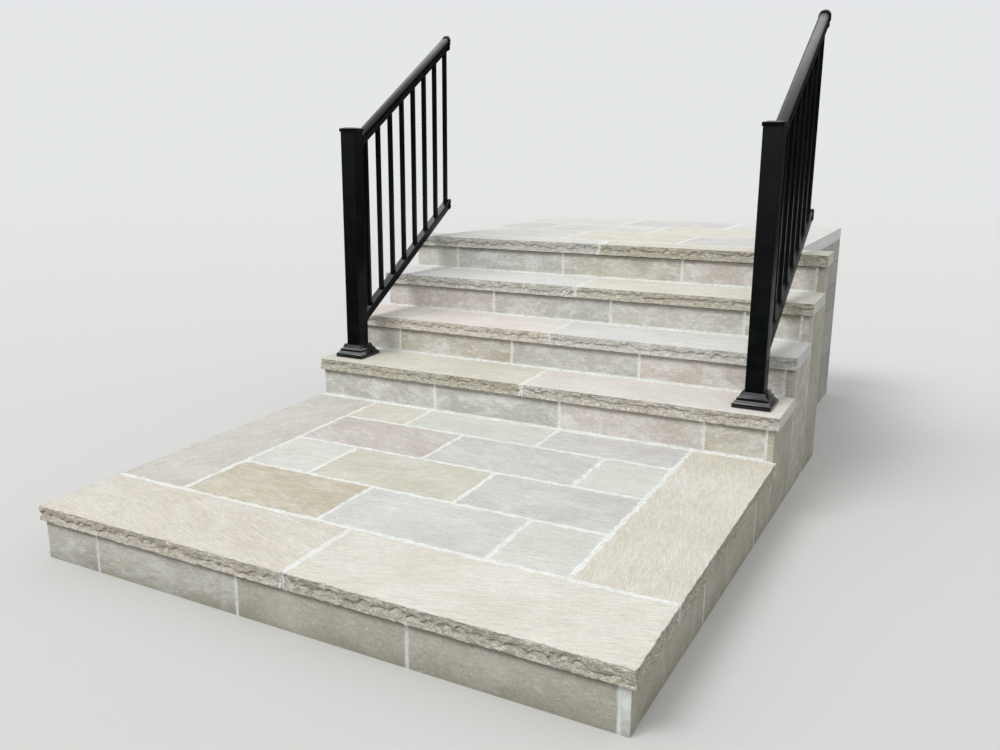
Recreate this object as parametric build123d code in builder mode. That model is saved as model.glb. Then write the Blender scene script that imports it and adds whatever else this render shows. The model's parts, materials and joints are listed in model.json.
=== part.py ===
"""Outdoor stone steps: a low paved platform, a flight of three treads and a landing, clad in
sandstone on a concrete core, with a black metal railing on each side.

Millimetres. X runs along the nosings, Y goes up the steps towards the house, Z is up.
The origin is under the middle of the whole object, at the level of the lowest ground.
Every walking face falls a little towards the front, so that rain runs off.
"""
import os
from math import atan, cos, degrees

from build123d import *

os.makedirs("parts", exist_ok=True)

# Plan
stair_width = 2224          # between the outer faces of the side cladding
platform_depth = 1586       # platform front face to the first riser face
going = 290                 # one riser face to the next
strip_depth = 140           # top riser face to the front of the house wall
recess_depth = 1365         # front of the house wall to the door threshold
return_inset = 137          # outer face of the cladding to the brick return of the door recess

# Heights and falls
platform_height = 200       # coping top at the platform's front edge
first_riser = 183           # platform surface to the first tread's front edge
riser = 172                 # back of one tread to the front edge of the next
platform_fall = 0.038       # rise of the paving per unit of depth
tread_fall = 0.045
landing_fall = 0.020
riser_names = ["a", "b", "c", "d"]      # d carries the landing

# Stone and mortar
slab_thickness = 54
nosing_overhang = 16        # of slabs beyond the cladding, at the front and at the sides
arris_drop = 6              # rock-faced edge: what is pitched off the top of it
arris_back = 9
foot_rise = 12              # and off the bottom
foot_back = 7
panel_thickness = 25
bed = 15                    # mortar behind panels and under slabs
joint = 10                  # mortar between stones
joint_recess = 1            # pointing stands back from the stone by this
pointing_back = 8           # and from the tips of the slabs by this
open_joint = 5              # left dry between the head of the cladding and the slab above it
wall_gap = 10               # landing paving to the brick returns
coping_depth = 350          # front coping, from its tip to its back edge
coping_width = 335          # side copings
row_depth = 321             # paving rows 4, 3 and 2; row 1 takes what is left
slab_module = 660           # a paving slab and its joint
panel_module = 645          # a riser panel and its joint
odd_row_joint = -470        # first cross joint of paving rows 1 and 3
even_row_joint = -155       # middle cross joint of paving rows 2 and 4
upper_panel_joint = -460    # first upright joint of risers a and c
lower_panel_joint = -848    # first upright joint of risers b and d and of the platform
landing_rows = 3
landing_row_joint = -300    # first cross joint of landing rows 1 and 3
platform_side_panels = [651, 679]       # front two panels; the third takes what is left
flight_side_panels = [375, 330]         # likewise on the flight

# Railings
rail_inset = 112            # outer face of the cladding to the middle of the railing
post_setback = 130          # first riser face to the post's centre
post_size = 76
post_wall = 3
post_corner = 3
post_reveal = 20            # the post's top above the handrail's
flange_size = 118
flange_thickness = 8
cap_overhang = 4
cap_rim = 15
cap_drop = 8                # how far the cap's rim reaches down over the post
cap_crown = 5
cap_flat = 44               # level middle of the crown
slip_gap = 0.3              # between the cap and the post
cover_size = 156            # the base cover's square foot, an upright lip
cover_heads = [156, 148, 130, 126, 110, 98]     # size at the head of each tier, from below
cover_heights = [17, 4, 9, 9, 6, 17]
cover_ledge = 2             # step in from one tier's head to the next one's foot
cover_wall = 2.5
cover_gap = 1               # between the cover's collar and the post
handrail_height = 970       # upright, from the nosing line to the top of the rail
bottom_clearance = 41       # upright, from the nosing line to the bottom rail
rail_climb = 1.018          # slope of the rails over that of the nosing line
top_rail_width = 50
top_rail_height = 56
rail_neck = 4               # how far the channel under the head stands in on each side
neck_height = 18
shoulder_height = 38
crown_drop = 5
crown_share = 0.7           # of the head's half width, where it has fallen by the crown's drop
bottom_rail_width = 42
bottom_rail_height = 38
rail_corner = 3
baluster_size = 20
baluster_spacing = 107      # centre to centre
baluster_gap = 2            # between the last baluster and the cup at the wall
bracket_wall = 3
bracket_sleeve = 34         # length along the rail, at the post
cup_depth = 11              # of the closed cup at the wall
cup_floor = 4

# Places that follow from the sizes
half_width = stair_width / 2
slab_half = half_width + nosing_overhang
total_depth = nosing_overhang + platform_depth + 3 * going + strip_depth + recess_depth
front_tip = -total_depth / 2
platform_face = front_tip + nosing_overhang
riser_face = [platform_face + platform_depth + i * going for i in range(4)]
wall_face = riser_face[3] + strip_depth
threshold = wall_face + recess_depth
landing_half = half_width - return_inset - wall_gap
panel_back = half_width - panel_thickness
core_half = panel_back - bed


def platform_top(y):
    """Level of the platform's paving at depth y."""
    return platform_height + platform_fall * (y - front_tip)


tread_level = [platform_top(riser_face[0]) + first_riser]
for i in range(3):
    tread_level.append(tread_level[i] + tread_fall * (going + nosing_overhang) + riser)


def tread_top(i, y):
    """Level of tread i at depth y; tread 3 is the landing's front strip."""
    return tread_level[i] + tread_fall * (y - riser_face[i] + nosing_overhang)


def landing_top(y):
    """Level of the landing's paving between the brick returns."""
    return tread_top(3, wall_face) + landing_fall * (y - wall_face)


def outline(points, x):
    """A face in an upright plane along the depth, at x, from (y, z) corners."""
    with BuildSketch(Plane.YZ.offset(x)) as face:
        with BuildLine():
            Polyline(*points, close=True)
        make_face()
    return face.sketch


def slab(top, y_from, y_to):
    """Side view of a slab whose top follows the given fall."""
    under = -slab_thickness
    return [(y_from, top(y_from) + under), (y_to, top(y_to) + under), (y_to, top(y_to)), (y_from, top(y_from))]


def spans(start, end, joints):
    """Stone lengths between start and end, with a mortar joint about each given place."""
    edges = [start] + [j + side * joint / 2 for j in joints for side in (-1, 1)] + [end]
    return list(zip(edges[::2], edges[1::2]))


def save(piece, name):
    """Names a finished sub-part and writes it."""
    piece.part.label = name
    export_step(piece.part, f"parts/{name}.step")


# Concrete core: the steps in one mass, and the narrower landing between the brick returns
core_front = platform_face + panel_thickness + bed
core_riser = [y + panel_thickness + bed for y in riser_face]
under_slab = slab_thickness + bed
core_steps = [(core_front, 0), (core_front, platform_top(core_front) - under_slab),
              (core_riser[0], platform_top(core_riser[0]) - under_slab)]
for i in range(4):
    step_end = core_riser[i + 1] if i < 3 else wall_face
    core_steps += [(core_riser[i], tread_top(i, core_riser[i]) - under_slab),
                   (step_end, tread_top(i, step_end) - under_slab)]
core_steps += [(wall_face, 0)]
core_landing = [(wall_face, 0), (wall_face, landing_top(wall_face) - under_slab),
                (threshold, landing_top(threshold) - under_slab), (threshold, 0)]

with BuildPart() as concrete_core:
    extrude(outline(core_steps, -core_half), amount=2 * core_half)
    extrude(outline(core_landing, -landing_half), amount=2 * landing_half)
save(concrete_core, "concrete_core")


def pitch_side(stone, outward):
    """Pitches the upright side of a slab to a rock face; outward is -1 or 1 along X."""
    for upper, back, down in [(True, arris_back, arris_drop), (False, foot_back, foot_rise)]:
        side = stone.faces().filter_by(Axis.X).sort_by(Axis.X)[-1 if outward > 0 else 0]
        long_edges = side.edges().sort_by(SortBy.LENGTH)[-2:].sort_by(Axis.Z)
        chamfer(long_edges[-1 if upper else 0], length=down, length2=back, reference=side)


def nosed_slab(top, y_tip, y_back, x_from, x_to, outward=0):
    """A slab with a rock-faced front edge; outward is -1 or 1 where that side is rock-faced too."""
    under = slab(top, y_tip + foot_back, y_back)[:2]
    side_view = under + [(y_back, top(y_back)), (y_tip + arris_back, top(y_tip + arris_back)),
                         (y_tip, top(y_tip) - arris_drop), (y_tip, top(y_tip) - slab_thickness + foot_rise)]
    with BuildPart() as stone:
        extrude(outline(side_view, x_from), amount=x_to - x_from)
        if outward:
            pitch_side(stone, outward)
    return stone


# Platform coping: two stones along the front, one down each side
coping_back = front_tip + coping_depth
paving_end = riser_face[0] - joint
coping = {
    "coping_front_left": nosed_slab(platform_top, front_tip, coping_back, -slab_half, -joint / 2, outward=-1),
    "coping_front_right": nosed_slab(platform_top, front_tip, coping_back, joint / 2, slab_half, outward=1),
}
for name, x_from, outward in [("coping_left", -slab_half, -1), ("coping_right", slab_half - coping_width, 1)]:
    with BuildPart() as side_coping:
        extrude(outline(slab(platform_top, coping_back + joint, paving_end), x_from), amount=coping_width)
        pitch_side(side_coping, outward)
    coping[name] = side_coping

# Platform paving: four rows, laid from the front coping back to the first riser
paving_half = slab_half - coping_width - joint
row_start = [coping_back + joint + i * (row_depth + joint) for i in range(4)]
row_end = row_start[1:] + [paving_end + joint]
row_joints = {"odd": [odd_row_joint, odd_row_joint + slab_module],
              "even": [even_row_joint, even_row_joint + slab_module]}
paving = {}
for i in range(4):
    pattern = "even" if i % 2 == 0 else "odd"
    with BuildPart() as row:
        for x_from, x_to in spans(-paving_half, paving_half, row_joints[pattern]):
            side_view = slab(platform_top, row_start[i], row_end[i] - joint)
            extrude(outline(side_view, x_from), amount=x_to - x_from)
    paving[f"paving_row_{4 - i}"] = row

# Treads, and the nosing stones of the landing: two stones each, meeting in the middle
treads = {}
for i, letter in enumerate(riser_names):
    tread_back = riser_face[i + 1] - joint if i < 3 else wall_face
    node = f"tread_{letter}" if i < 3 else "landing_nosing"
    for side, x_from, x_to in [("left", -slab_half, -joint / 2), ("right", joint / 2, slab_half)]:
        treads[f"{node}_{side}"] = nosed_slab(lambda y, i=i: tread_top(i, y), riser_face[i] - nosing_overhang,
                                              tread_back, x_from, x_to)

# Landing paving between the brick returns
landing_pitch = recess_depth / landing_rows
landing_paving = {}
for i in range(landing_rows):
    y_from = wall_face + joint + i * landing_pitch
    y_to = wall_face + (i + 1) * landing_pitch
    first = landing_row_joint - (slab_module / 2 if i % 2 else 0)
    joints = [x for x in (first + k * slab_module for k in range(3)) if x < landing_half - joint]
    with BuildPart() as row:
        for x_from, x_to in spans(-landing_half, landing_half, joints):
            extrude(outline(slab(landing_top, y_from, y_to), x_from), amount=x_to - x_from)
    landing_paving[f"landing_row_{i + 1}"] = row


def platform_bed(y):
    return platform_top(y) - slab_thickness


def tread_bed(i):
    return lambda y: tread_top(i, y) - slab_thickness


# Each upright face: its node, its place, the level of its foot and of the slab above it
faces = [("platform_front_panels", platform_face, lambda y: 0, platform_bed)]
for i, letter in enumerate(riser_names):
    below = tread_bed(i - 1) if i else platform_bed
    faces.append((f"riser_{letter}_panels", riser_face[i], below, tread_bed(i)))
face_ends = riser_face + [wall_face]        # where the slab above each face ends


def upright(y_face, foot, head, depth):
    """Side view of the cladding on an upright face."""
    y_back = y_face + depth
    return [(y_face, foot(y_face)), (y_back, foot(y_back)), (y_back, head(y_back)), (y_face, head(y_face))]


# Front cladding: rows of sawn panels, from the left corner of the steps to the right side cladding
panels = {}
for number, (node, y_face, foot, head) in enumerate(faces):
    first_joint = upper_panel_joint if number % 2 else lower_panel_joint
    joints = [first_joint + k * panel_module for k in range(3)]
    with BuildPart() as row:
        for x_from, x_to in spans(-half_width, panel_back - joint, joints):
            extrude(outline(upright(y_face, foot, head, panel_thickness), x_from), amount=x_to - x_from)
    panels[node] = row

# Side cladding: upright panels cut to the fall of the coping and to the steps
flight_side = [(riser_face[0], 0)]
for i in range(4):
    flight_side += [(y, tread_bed(i)(y)) for y in (riser_face[i], face_ends[i + 1])]
flight_side += [(wall_face, 0)]
platform_side = [(platform_face, 0), (platform_face, platform_bed(platform_face)),
                 (paving_end, platform_bed(paving_end)), (paving_end, 0)]
platform_joints = [platform_face + sum(platform_side_panels[:k + 1]) for k in range(2)]
flight_joints = [riser_face[0] + sum(flight_side_panels[:k + 1]) for k in range(2)]
sides = [("platform", platform_side, platform_joints), ("flight", flight_side, flight_joints)]
for side, x_from in [("left", -half_width), ("right", panel_back)]:
    for node, side_view, cuts in sides:
        with BuildPart() as cladding:
            extrude(outline(side_view, x_from), amount=panel_thickness)
            if side == "left":          # here the front panels run out to the corner
                for _, y_face, foot, head in faces:
                    behind = upright(y_face, foot, head, panel_thickness + joint)
                    extrude(outline(behind, x_from), amount=panel_thickness, mode=Mode.SUBTRACT)
            for y in cuts:
                near, far = y - joint / 2, y + joint / 2
                saw_cut = [(near, 0), (far, 0), (far, tread_level[3]), (near, tread_level[3])]
                extrude(outline(saw_cut, x_from), amount=panel_thickness, mode=Mode.SUBTRACT)
        panels[f"{node}_{side}_panels"] = cladding


# Dry joint under the slabs, as deep as the cladding is thick
def dry_joint(bed_level, y_from, y_to):
    """Side view of the gap left over the cladding."""
    return [(y_from, bed_level(y_from)), (y_from, bed_level(y_from) - open_joint),
            (y_to, bed_level(y_to) - open_joint), (y_to, bed_level(y_to))]


with BuildPart() as dry_joints:
    for (_, y_face, _, head), face_end in zip(faces, face_ends):
        extrude(outline(dry_joint(head, y_face, y_face + panel_thickness), -half_width), amount=stair_width)
        for x_from in (-half_width, panel_back):
            extrude(outline(dry_joint(head, y_face, face_end), x_from), amount=panel_thickness)
for cladding in panels.values():
    with cladding:
        add(dry_joints.part, mode=Mode.SUBTRACT)


# Mortar: what the core and the stones leave free inside the finished faces
def mortar(side_view, half, gaps, stones):
    """The bed and the pointing in one mass, from an outline set back behind the finished faces."""
    with BuildPart() as mass:
        extrude(outline(side_view, -half), amount=2 * half)
        for gap, x_from, x_to in gaps:
            extrude(outline(gap, x_from), amount=x_to - x_from)
        for stone in stones:
            add(stone.part, mode=Mode.SUBTRACT)
    return mass


def pointing(top, y_from, y_to):
    """Side view of a filled joint between slabs."""
    return [(y_from, top(y_from) - slab_thickness), (y_to, top(y_to) - slab_thickness),
            (y_to, top(y_to) - joint_recess), (y_from, top(y_from) - joint_recess)]


first_face = riser_face[0]
platform_fill = [(platform_face + joint_recess, 0),
                 (platform_face + joint_recess, platform_top(platform_face) - joint_recess),
                 (first_face, platform_top(first_face) - joint_recess), (first_face, 0)]
stair_fill = [(first_face, 0), (first_face, platform_bed(first_face)),
              (first_face + joint_recess, platform_bed(first_face))]
for i in range(4):
    fill_end = riser_face[i + 1] + joint_recess if i < 3 else wall_face
    stair_fill += [(riser_face[i] + joint_recess, tread_top(i, riser_face[i]) - joint_recess),
                   (fill_end, tread_top(i, fill_end) - joint_recess)]
stair_fill += [(wall_face, 0)]
landing_fill = [(y, landing_top(y) - under_slab) for y in (wall_face, threshold)]
landing_fill += [(y, landing_top(y) - joint_recess) for y in (threshold, wall_face)]
side_fill = half_width - joint_recess

# The joints between overhanging slabs are filled out to a little behind their tips
side_gap = pointing(platform_top, coping_back, coping_back + joint)
front_gap = pointing(platform_top, front_tip + pointing_back, platform_face + bed)
platform_gaps = [(front_gap, -joint / 2, joint / 2), (side_gap, pointing_back - slab_half, -panel_back),
                 (side_gap, panel_back, slab_half - pointing_back)]
stair_gaps = []
for i in range(4):
    y_from = riser_face[i] - nosing_overhang + pointing_back
    nosing_gap = pointing(lambda y: tread_top(i, y), y_from, riser_face[i] + bed)
    stair_gaps.append((nosing_gap, -joint / 2, joint / 2))

around = [concrete_core, dry_joints, *panels.values()]
platform_stones = [*coping.values(), *paving.values()]
platform_mortar = mortar(platform_fill, side_fill, platform_gaps, [*around, *platform_stones])
stair_mortar = mortar(stair_fill, side_fill, stair_gaps, [*around, *treads.values()])
landing_mortar = mortar(landing_fill, landing_half, [], [concrete_core, *landing_paving.values()])

save(platform_mortar, "platform_mortar")
save(stair_mortar, "stair_mortar")
save(landing_mortar, "landing_mortar")
for group in (coping, paving, treads, landing_paving, panels):
    for name, stones in group.items():
        save(stones, name)

# Railings: everything on the rake follows the line over the nosings
rake = rail_climb * (tread_level[1] - tread_level[0]) / going
rake_angle = atan(rake)
rail_x = half_width - rail_inset
post_y = riser_face[0] + post_setback
post_back = post_y + post_size / 2


def nosing_line(y):
    """Level at depth y of the raked line that the rails are set out from, through the first tip."""
    return tread_level[0] + rake * (y - riser_face[0] + nosing_overhang)


def bottom_rail_foot(y):
    return nosing_line(y) + bottom_clearance


def bottom_rail_head(y):
    return bottom_rail_foot(y) + bottom_rail_height / cos(rake_angle)


def top_rail_foot(y):
    return nosing_line(y) + handrail_height - top_rail_height / cos(rake_angle)


post_top = nosing_line(post_back) + handrail_height + post_reveal
cover_foot = tread_top(0, post_y - cover_size / 2)
below_tread = [(riser_face[0], 0), (riser_face[1], 0), (riser_face[1], tread_top(0, riser_face[1])),
               (riser_face[0], tread_top(0, riser_face[0]))]


def rake_plane(x, foot, y):
    """A plane across the rake with its origin on the rail's underside and its Y axis upwards."""
    return Plane(origin=(x, y, foot(y)), x_dir=(-1, 0, 0), z_dir=(0, 1, rake))


def top_rail_profile(grow=0.0):
    """Moulded handrail: a narrow channel under a wide rounded head."""
    half, neck = top_rail_width / 2, top_rail_width / 2 - rail_neck
    shoulder, crown = (half, shoulder_height), (0, top_rail_height)
    with BuildSketch() as profile:
        with BuildLine():
            Polyline((0, 0), (neck, 0), (neck, neck_height), (half, neck_height + rail_neck), shoulder)
            ThreePointArc(shoulder, (half * crown_share, top_rail_height - crown_drop), crown)
            Line(crown, (0, 0))
        make_face()
        mirror(about=Plane.YZ)
        if grow:
            offset(amount=grow)
    return profile.sketch


def bottom_rail_profile(grow=0.0):
    """Plain channel with eased corners."""
    with BuildSketch() as profile:
        with Locations((0, bottom_rail_height / 2)):
            RectangleRounded(bottom_rail_width, bottom_rail_height, rail_corner)
        if grow:
            offset(amount=grow)
    return profile.sketch


def raked_bar(x, profile, foot, y_from, y_to):
    """A profile run up the rake and cut upright at both ends."""
    spare = top_rail_height         # more than the ends need to be cut upright
    length = (y_to - y_from + 2 * spare) / cos(rake_angle)
    with BuildPart() as bar:
        extrude(rake_plane(x, foot, y_from - spare) * profile, amount=length)
        split(bisect_by=Plane(origin=(x, y_from, 0), z_dir=(0, 1, 0)), keep=Keep.TOP)
        split(bisect_by=Plane(origin=(x, y_to, 0), z_dir=(0, 1, 0)), keep=Keep.BOTTOM)
    return bar


def post(x):
    """Square tube on a flange that lies on the first tread."""
    with BuildPart() as tube:
        with BuildSketch(Plane.XY.offset(cover_foot)):
            with Locations((x, post_y)):
                RectangleRounded(post_size, post_size, post_corner)
                Rectangle(post_size - 2 * post_wall, post_size - 2 * post_wall, mode=Mode.SUBTRACT)
        extrude(amount=post_top - cover_foot)
        y_front, y_back = post_y - flange_size / 2, post_y + flange_size / 2
        flange = [(y_front, tread_top(0, y_front)), (y_back, tread_top(0, y_back)),
                  (y_back, tread_top(0, y_back) + flange_thickness),
                  (y_front, tread_top(0, y_front) + flange_thickness)]
        extrude(outline(flange, x - flange_size / 2), amount=flange_size)
        extrude(outline(below_tread, x - flange_size / 2), amount=flange_size, mode=Mode.SUBTRACT)
    return tube


def slope(low, high, rise):
    """Lean in degrees of the sides that narrow a square from low to high over a rise."""
    return degrees(atan((low - high) / 2 / rise))


def post_cap(x):
    """Lid that slips over the tube, with a low pyramid on top."""
    cap_size = post_size + 2 * cap_overhang
    with BuildPart() as cap:
        with BuildSketch(Plane.XY.offset(post_top - cap_drop)):
            with Locations((x, post_y)):
                Rectangle(cap_size, cap_size)
        extrude(amount=cap_rim)
        with BuildSketch(Plane.XY.offset(post_top - cap_drop + cap_rim)):
            with Locations((x, post_y)):
                Rectangle(cap_size, cap_size)
        extrude(amount=cap_crown, taper=slope(cap_size, cap_flat, cap_crown))
        with BuildSketch(Plane.XY.offset(post_top - cap_drop)):
            with Locations((x, post_y)):
                Rectangle(post_size + 2 * slip_gap, post_size + 2 * slip_gap)
        extrude(amount=cap_drop, mode=Mode.SUBTRACT)
    return cap


def cover_form(x, inset, drop):
    """The tiers of the base cover; the same form, set in and lowered, is its cavity."""
    z, low = cover_foot - drop, cover_size - 2 * inset
    with BuildPart() as tiers:
        for head, height in zip(cover_heads, cover_heights):
            with BuildSketch(Plane.XY.offset(z)):
                with Locations((x, post_y)):
                    Rectangle(low, low)
            high = head - 2 * inset
            extrude(amount=height, taper=slope(low, high, height))
            z, low = z + height, high - 2 * cover_ledge
    return tiers


def base_cover(x):
    """Moulded shell over the flange, with a square hole for the post."""
    form = cover_form(x, 0, 0)
    cavity = cover_form(x, cover_wall, cover_wall)
    with BuildPart() as cover:
        add(form.part)
        add(cavity.part, mode=Mode.SUBTRACT)
        with BuildSketch(Plane.XY.offset(cover_foot)):
            with Locations((x, post_y)):
                Rectangle(post_size + 2 * cover_gap, post_size + 2 * cover_gap)
        extrude(amount=sum(cover_heights), mode=Mode.SUBTRACT)
        extrude(outline(below_tread, x - cover_size / 2), amount=cover_size, mode=Mode.SUBTRACT)
    return cover


def balusters(x):
    """Square bars between the rails, set out from the wall, with both ends cut to the rake."""
    last = wall_face - cup_depth - baluster_gap - baluster_size / 2
    count = int((last - post_back) / baluster_spacing + 0.5)
    with BuildPart() as bars:
        for k in range(count):
            near = last - k * baluster_spacing - baluster_size / 2
            far = near + baluster_size
            side_view = [(near, bottom_rail_head(near)), (far, bottom_rail_head(far)),
                         (far, top_rail_foot(far)), (near, top_rail_foot(near))]
            extrude(outline(side_view, x - baluster_size / 2), amount=baluster_size)
    return bars


def bracket(x, profile, foot, y_from, y_to):
    """The rail's outline, a wall thicker, with the rail taken out: a sleeve, or a cup past the rail's end."""
    outer = raked_bar(x, profile(bracket_wall), foot, y_from, y_to)
    rail = raked_bar(x, profile(), foot, rail_start, rail_end)
    with BuildPart() as shell:
        add(outer.part)
        add(rail.part, mode=Mode.SUBTRACT)
    return shell


rail_start = post_back
rail_end = wall_face - cup_floor
for side, x in [("left", -rail_x), ("right", rail_x)]:
    save(post(x), f"{side}_post")
    save(post_cap(x), f"{side}_post_cap")
    save(base_cover(x), f"{side}_base_cover")
    save(raked_bar(x, top_rail_profile(), top_rail_foot, rail_start, rail_end), f"{side}_top_rail")
    save(raked_bar(x, bottom_rail_profile(), bottom_rail_foot, rail_start, rail_end), f"{side}_bottom_rail")
    save(balusters(x), f"{side}_balusters")
    ends = []
    for profile, foot in [(top_rail_profile, top_rail_foot), (bottom_rail_profile, bottom_rail_foot)]:
        ends.append(bracket(x, profile, foot, rail_start, rail_start + bracket_sleeve * cos(rake_angle)))
        ends.append(bracket(x, profile, foot, wall_face - cup_depth, wall_face))
    with BuildPart() as brackets:
        for end in ends:
            add(end.part)
    save(brackets, f"{side}_brackets")
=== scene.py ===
"""Looks of the outdoor stone steps: riven sandstone slabs with rock-faced edges, sawn cladding,
pale pointing, and black powder-coated railings. Metres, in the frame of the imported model."""
import json
import random
from math import pi, radians

import bpy
import numpy as np
from mathutils import Matrix, Vector

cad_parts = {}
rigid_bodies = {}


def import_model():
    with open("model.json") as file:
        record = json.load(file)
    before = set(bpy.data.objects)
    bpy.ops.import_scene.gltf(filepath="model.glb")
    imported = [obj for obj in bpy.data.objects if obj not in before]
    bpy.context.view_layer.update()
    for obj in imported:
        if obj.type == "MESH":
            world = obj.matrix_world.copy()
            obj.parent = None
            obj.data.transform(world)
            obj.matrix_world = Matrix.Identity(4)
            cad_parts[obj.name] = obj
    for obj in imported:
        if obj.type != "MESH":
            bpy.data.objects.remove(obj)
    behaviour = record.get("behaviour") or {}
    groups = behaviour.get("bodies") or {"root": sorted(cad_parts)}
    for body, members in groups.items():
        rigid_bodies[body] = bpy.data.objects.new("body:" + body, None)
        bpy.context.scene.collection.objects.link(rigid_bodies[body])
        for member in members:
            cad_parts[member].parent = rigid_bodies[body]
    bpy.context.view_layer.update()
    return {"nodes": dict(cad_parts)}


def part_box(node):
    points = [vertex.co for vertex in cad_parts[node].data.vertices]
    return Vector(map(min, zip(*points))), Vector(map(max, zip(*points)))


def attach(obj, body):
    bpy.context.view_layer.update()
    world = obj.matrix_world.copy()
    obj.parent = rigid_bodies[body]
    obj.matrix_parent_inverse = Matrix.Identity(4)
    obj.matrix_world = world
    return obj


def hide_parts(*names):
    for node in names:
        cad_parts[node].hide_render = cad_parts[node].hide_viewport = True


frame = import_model()
scene = bpy.context.scene

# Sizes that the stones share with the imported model
slab_thickness = 0.054
platform_fall = 0.038
tread_fall = 0.045
landing_fall = 0.020

# Cells of the stones' surfaces, and rows down their edges
fine_cell = 0.0045          # along a rock-faced edge
first_cell = 0.7 * fine_cell    # next to such an edge, where the cells grow away from it
cell_growth = 1.35          # each of those to the one before
coarse_cell = 0.016         # across the walked surface
rock_rows = 20
plain_rows = 3

# Relief of the stones
deepest = 0.016             # cut-back of a pitched face at weight 1
drawn_back = 0.020          # how far behind a pitched face the stone's other faces are drawn with it
front_bite = 1.0            # relief of a pitched front
side_bite = 0.4             # and of a pitched side, which is dressed flatter
arris_drop = 0.0016         # how far the arris of a pitched face is worn down
arris_width = 0.005         # how far back the wear reaches
arris_cut = 0.006           # cut-back from which the arris is worn in full
riven_relief = 0.0017       # of the walked surface
side_waver = 0.0022         # of a side that meets a joint
foot_smear = 0.004          # pointing trowelled on to the stone along the foot of a riser
on_face = 0.0002            # a point nearer to a face than this lies on it
same_place = 0.00001        # points nearer than this are in one place
most_askew = 0.4            # turn of a stone's bedding off its length, in radians
own_start = (2, 9)          # between these, along each axis, lies a stone's own place in the patterns
smooth_under = 30           # stone and metal edges sharper than this many degrees stay crisp
smooth_round = 60           # the same on small round pieces
stone_corner = 30           # edges where faces meet at more than this many degrees are rounded
metal_corner = 25

# Seeds of the random draws: each stone has its own, and one more for its breaks
rock_seeds = 50
row_seeds = 100
seeds_a_row = 10
panel_seeds = 300
seeds_a_course = 20


# Helpers

def only(piece):
    """Leaves one object selected and active."""
    bpy.ops.object.select_all(action="DESELECT")
    piece.select_set(True)
    bpy.context.view_layer.objects.active = piece


def edit(piece, *steps):
    """Runs edit-mode steps on the whole piece."""
    only(piece)
    bpy.ops.object.mode_set(mode="EDIT")
    bpy.ops.mesh.select_all(action="SELECT")
    for step in steps:
        step()
    bpy.ops.object.mode_set(mode="OBJECT")


def outward():
    """Turns the faces of a closed shell outwards."""
    bpy.ops.mesh.select_all(action="SELECT")
    bpy.ops.mesh.normals_make_consistent(inside=False)


def place_whole(piece):
    """Moves a piece's place, turn and scale into its mesh."""
    only(piece)
    bpy.ops.object.transform_apply(location=True, rotation=True, scale=True)


def apply_modifier(piece, kind, **settings):
    """Adds a modifier and applies it."""
    only(piece)
    made = piece.modifiers.new(kind.lower(), kind)
    for name, value in settings.items():
        setattr(made, name, value)
    bpy.ops.object.modifier_apply(modifier=made.name)


def ease(piece, width, sharpest):
    """Rounds the edges where faces meet at more than some degrees."""
    apply_modifier(piece, "BEVEL", width=width, segments=2, limit_method="ANGLE",
                   angle_limit=radians(sharpest))


def soften(piece, angle):
    """Shades smooth across edges up to an angle in degrees."""
    only(piece)
    bpy.ops.object.shade_smooth_by_angle(angle=radians(angle))


def finish_in(piece, material):
    """Gives a piece one material."""
    piece.data.materials.clear()
    piece.data.materials.append(material)


def box_of(piece):
    """Lowest and highest corner of a piece."""
    corners = [Vector(c) for c in piece.bound_box]
    return corners[0], corners[6]


def solids(node):
    """Clean copies of a node's solids, in order along X and then along Y."""
    copy = bpy.data.objects.new(node + "_copy", frame["nodes"][node].data.copy())
    scene.collection.objects.link(copy)
    edit(copy,
         lambda: bpy.ops.mesh.customdata_custom_splitnormals_clear(),
         lambda: bpy.ops.mesh.remove_doubles(threshold=same_place),
         lambda: bpy.ops.mesh.dissolve_limited(angle_limit=radians(1)),
         lambda: bpy.ops.mesh.separate(type="LOOSE"))
    found = [o for o in scene.objects if o.name.startswith(node + "_copy")]
    return sorted(found, key=lambda o: tuple(round(v, 3) for v in box_of(o)[0]))


def settle(pieces, name, node):
    """Joins pieces into one that stands for a node."""
    only(pieces[0])
    for piece in pieces:
        piece.select_set(True)
    if len(pieces) > 1:
        bpy.ops.object.join()
    whole = bpy.context.view_layer.objects.active
    whole.name = name
    whole.data.name = name
    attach(whole, "root")
    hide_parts(node)


# Materials

def paint(hex_colour):
    """Linear colour of an sRGB hex value such as 'd8d2c4'."""
    channels = [int(hex_colour[k:k + 2], 16) / 255 for k in (0, 2, 4)]
    return [c / 12.92 if c <= 0.04045 else ((c + 0.055) / 1.055) ** 2.4 for c in channels] + [1]


def feed(socket, value):
    """Gives a socket a number, a colour, another socket, or what a node gives first."""
    if isinstance(value, bpy.types.Node):
        value = next(s for s in value.outputs if s.enabled)
    if isinstance(value, bpy.types.NodeSocket):
        socket.id_data.links.new(value, socket)
    else:
        socket.default_value = value


def add(tree, kind, *values, inputs=None, **settings):
    """Adds a shader node with its settings; values feed its inputs in their order, and inputs by name."""
    made = tree.nodes.new("ShaderNode" + kind)
    for name, value in settings.items():
        setattr(made, name, value)
    for socket, value in zip([s for s in made.inputs if s.enabled], values):
        feed(socket, value)
    for name, value in (inputs or {}).items():
        feed(made.inputs[name], value)
    return made


def new_material(name, roughness, specular=0.5, metallic=0.0, ior=1.5):
    """A material with a plain surface shader; returns it, its tree and the shader's inputs."""
    made = bpy.data.materials.new(name)
    made.use_nodes = True
    surface = made.node_tree.nodes["Principled BSDF"].inputs
    surface["Roughness"].default_value = roughness
    surface["Specular IOR Level"].default_value = specular
    surface["Metallic"].default_value = metallic
    surface["IOR"].default_value = ior
    return made, made.node_tree, surface


def per_metre(size_mm):
    """Noise scale whose features are about the given size."""
    return 1000 / size_mm


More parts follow.
